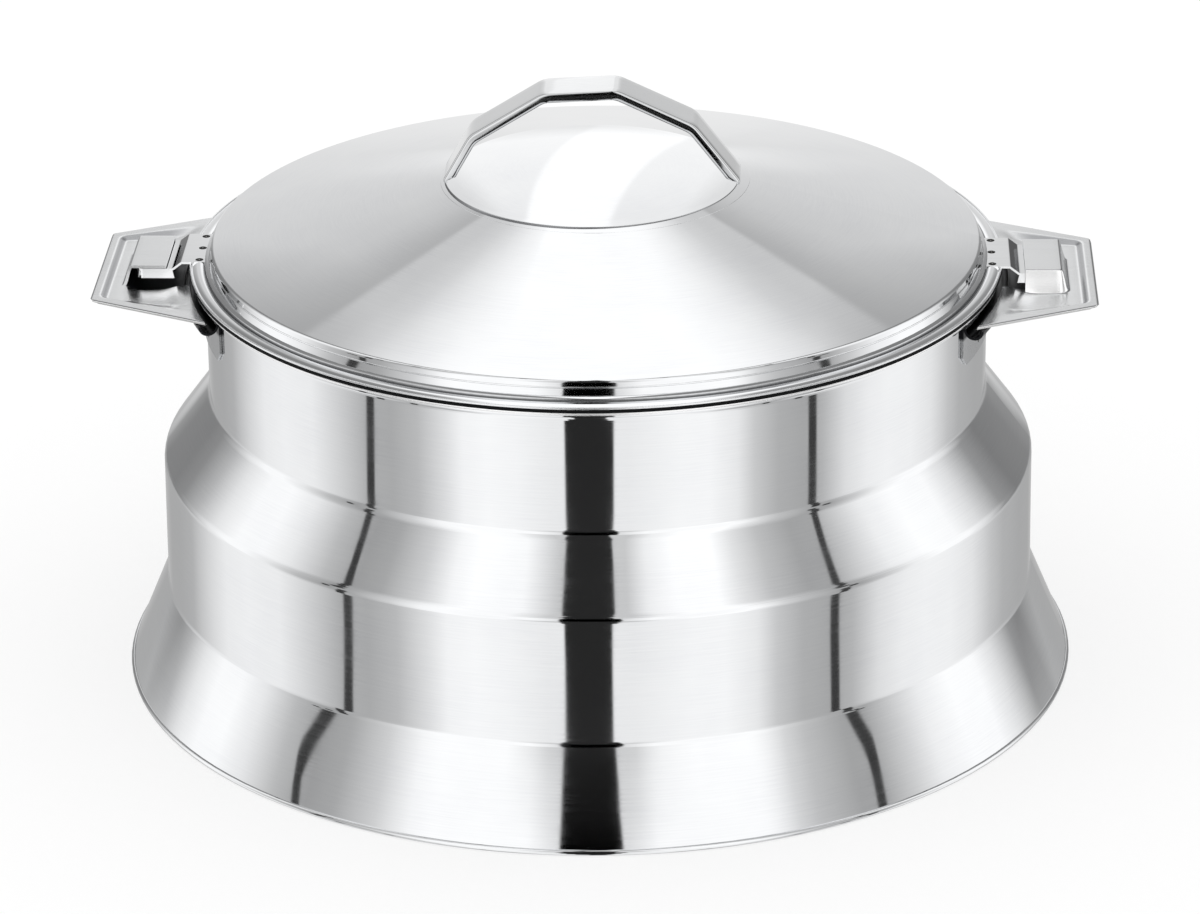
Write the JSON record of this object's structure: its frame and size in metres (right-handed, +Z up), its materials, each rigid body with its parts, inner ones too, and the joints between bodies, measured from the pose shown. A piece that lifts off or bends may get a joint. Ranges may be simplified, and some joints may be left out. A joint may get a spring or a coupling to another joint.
{
  "type": "insulated casserole",
  "caption": "Round insulated steel serving pot with a stepped, flared wall, side handles and a conical lid whose tongues turn under bridges in the handles to lock.",
  "frame": {"origin": "centre of the base, on the surface that the pot stands on", "axes": "+Z up along the pot's axis; the side handles lie along X; the front of the picture is -Y"},
  "size_m": [0.3226, 0.312, 0.1966],
  "materials": {
    "polished_steel": "polished",
    "satin_steel": "satin",
    "weld_marks": "satin",
    "foam": "matte",
    "seal": "matte"
  },
  "bodies": {
    "pot": {"outer_shell": "polished_steel", "inner_pot": "polished_steel", "body_insulation": "foam", "base_plate": "satin_steel", "left_handle_plate": "polished_steel", "right_handle_plate": "polished_steel", "left_handle_bracket": "satin_steel", "right_handle_bracket": "satin_steel", "left_bracket_welds": "weld_marks", "right_bracket_welds": "weld_marks"},
    "lid": {"lid_shell": "polished_steel", "lid_liner": "satin_steel", "lid_insulation": "foam", "lid_gasket": "seal", "crown_disc": "polished_steel", "strap_handle": "polished_steel", "strap_welds": "weld_marks", "left_lock_tab": "polished_steel", "right_lock_tab": "polished_steel", "left_tab_welds": "weld_marks", "right_tab_welds": "weld_marks"}
  },
  "joints": [
    {"name": "lid_turn", "type": "hinge", "parent": "pot", "child": "lid", "pos_m": [0, 0, 0.1381], "axis": [0, 0, 1], "range_deg": [0, 14]}
  ]
}
